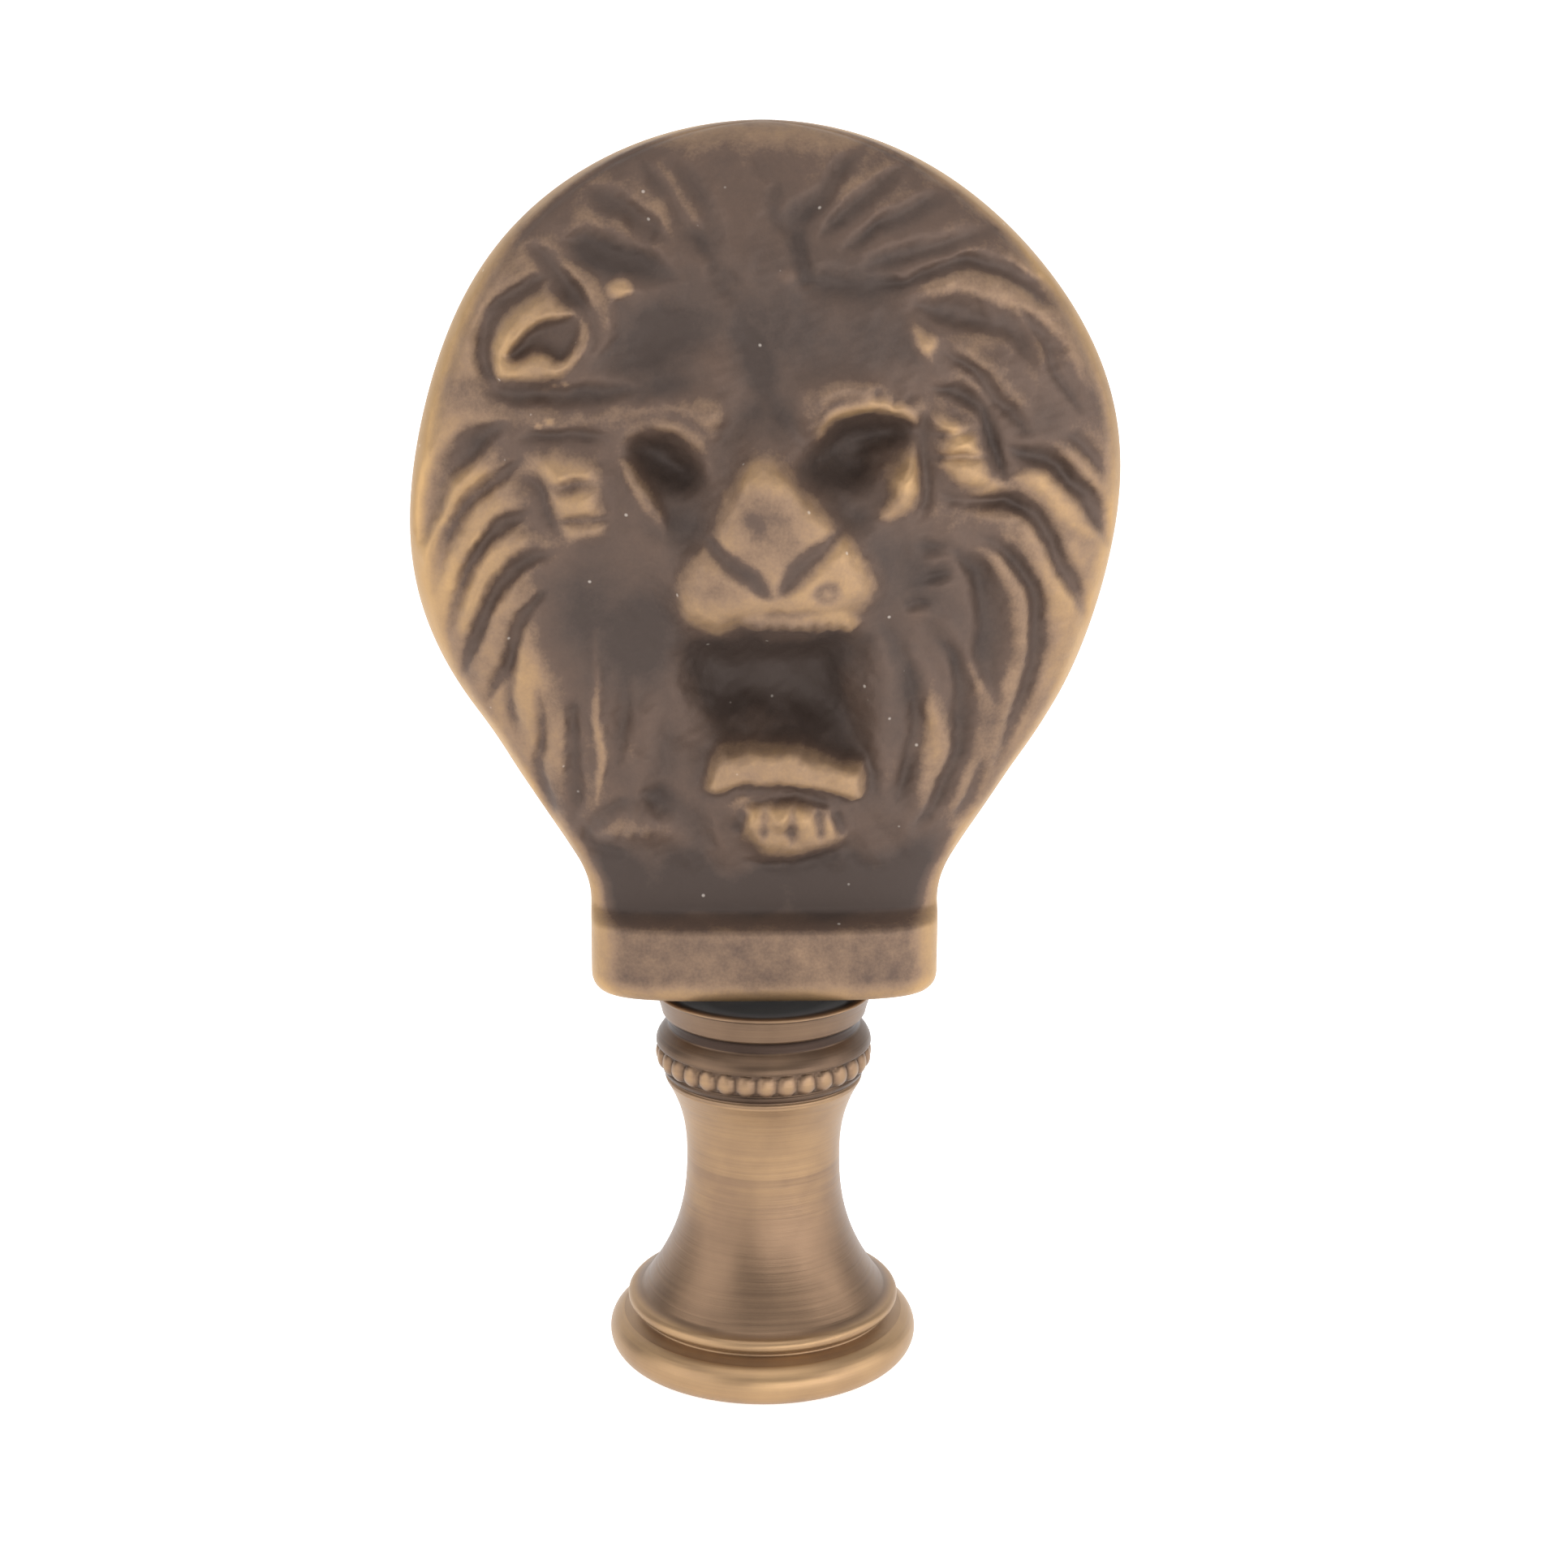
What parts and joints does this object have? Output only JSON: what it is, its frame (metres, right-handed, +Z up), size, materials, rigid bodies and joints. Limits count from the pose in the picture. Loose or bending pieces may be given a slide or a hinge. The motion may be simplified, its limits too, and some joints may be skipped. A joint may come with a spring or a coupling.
{
  "type": "brass finial",
  "caption": "Cast lion mask on a block foot, standing on a turned base with a bead ring, waisted column and a tapped hole below for a lamp rod.",
  "frame": {"origin": "middle of the underside of the foot, on the axis of the turned base", "axes": "+Z up along the turned axis, -Y the way the mask looks, +X to the right of someone facing the mask"},
  "size_m": [0.0346, 0.016, 0.0632],
  "materials": {
    "cast_brass": "satin cast brass with dark brown patina in the hollows and worn lighter high points",
    "turned_brass": "satin turned brass with fine lathe lines, browner round the beads and neck"
  },
  "bodies": {
    "root": {"lion_mask": "cast_brass", "turned_base": "turned_brass"}
  },
  "joints": []
}
